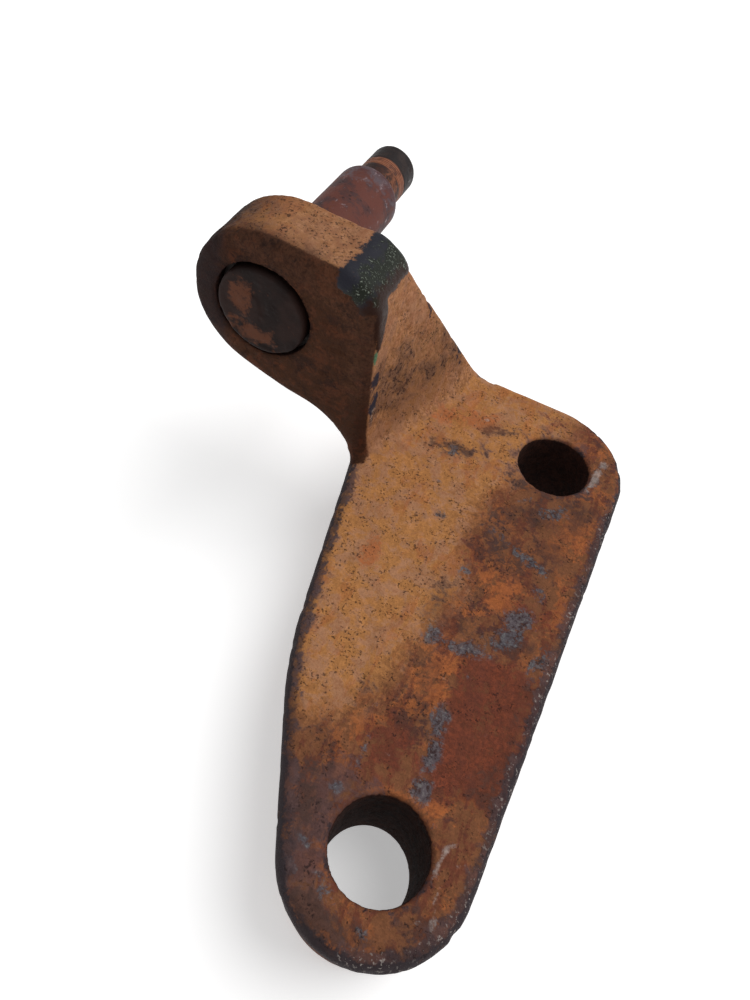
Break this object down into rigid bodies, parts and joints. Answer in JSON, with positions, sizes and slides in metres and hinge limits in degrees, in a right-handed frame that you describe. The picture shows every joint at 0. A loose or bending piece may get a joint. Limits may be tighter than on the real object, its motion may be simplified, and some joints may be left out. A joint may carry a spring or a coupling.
{
  "type": "offset arm with swivel pin",
  "caption": "Cast offset lever arm: a thick plate with two through bores, and an overhanging lug that carries a headed swivel pin with a stepped tail.",
  "frame": {"origin": "centre of the lower bore on the plate's back face", "axes": "+Z the plate's normal, from its back face to its front face; +Y along the swivel pin from its head to its tail; +X towards the plate's straight side"},
  "size_m": [0.1524, 0.2344, 0.1094],
  "materials": {
    "casting": "rusted, rough as cast",
    "bush": "worn, dull",
    "washer": "rusted",
    "pin": "worn, lightly rusted",
    "ring": "dark, oiled"
  },
  "bodies": {
    "arm": {"arm": "casting", "lug_bush": "bush", "thrust_washer": "washer"},
    "pin": {"swivel_pin": "pin", "back_washer": "washer", "retaining_ring": "ring"}
  },
  "joints": [
    {"name": "pin_swivel", "type": "hinge", "parent": "arm", "child": "pin", "pos_m": [-0.0967, 0.1092, 0.0837], "axis": [0, 1, 0], "continuous": true}
  ]
}
